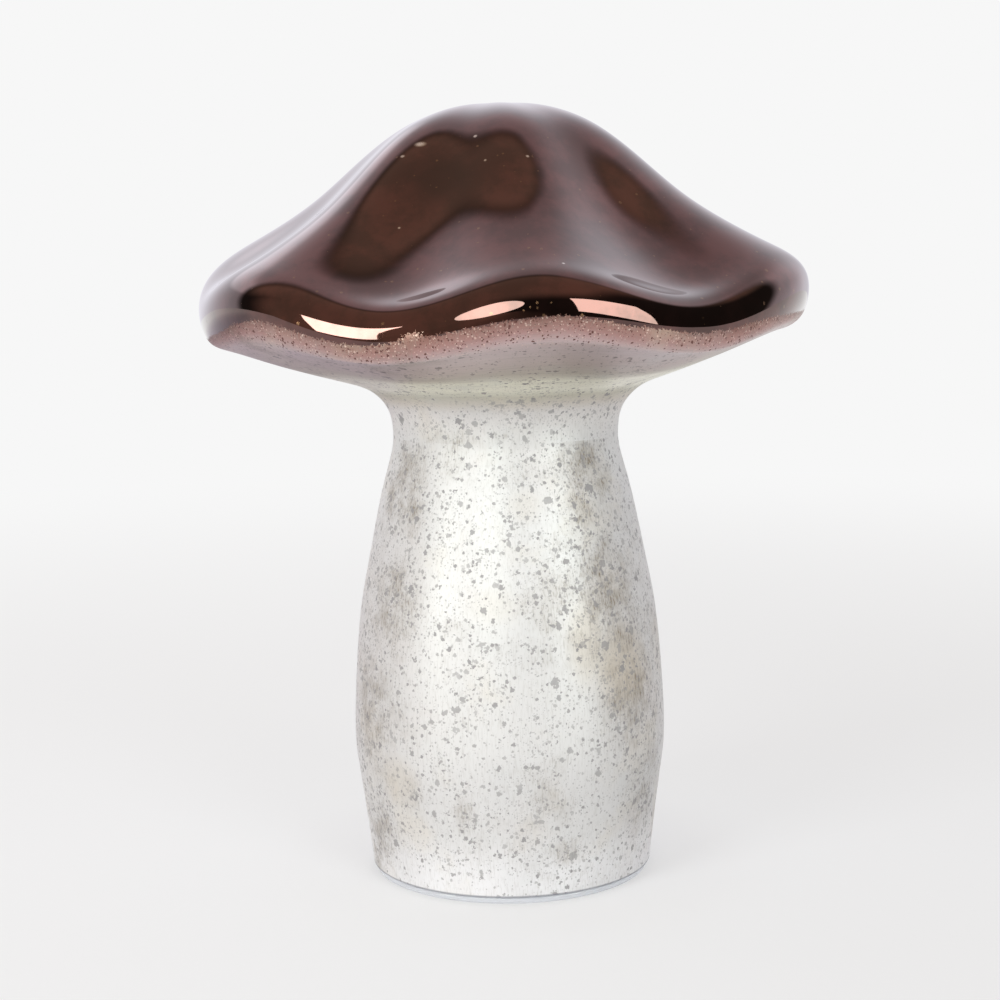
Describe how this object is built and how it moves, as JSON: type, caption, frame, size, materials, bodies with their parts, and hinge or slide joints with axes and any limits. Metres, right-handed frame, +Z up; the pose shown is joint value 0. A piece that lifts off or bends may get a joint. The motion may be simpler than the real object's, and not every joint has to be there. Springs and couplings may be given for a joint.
{
  "type": "mushroom_ornament",
  "caption": "Free-standing blown glass mushroom ornament: wavy bronze-mirrored cap on a speckled antique-silver stem with a clear glass foot disc",
  "frame": {"origin": "centre of the round foot, in the plane of the table that the ornament stands on", "axes": "+Z is up along the stem towards the crown of the cap, -Y is the front that faces the viewer, +X is to the viewer's right"},
  "size_m": [0.1573, 0.1567, 0.2],
  "materials": {
    "bronze_mirror": "glossy bronze-brown plating on blown glass, fading through a fine spatter to silver on the underside",
    "antique_silver": "satin antiqued silver plating on blown glass with small grey specks and tarnish clouds",
    "clear_bond": "clear cured adhesive, plated over at the neck",
    "clear_glass": "clear polished glass"
  },
  "bodies": {
    "root": {"cap_shell": "bronze_mirror", "stem_shell": "antique_silver", "neck_bond": "clear_bond", "foot_bond": "clear_bond", "foot_disc": "clear_glass"}
  },
  "joints": []
}
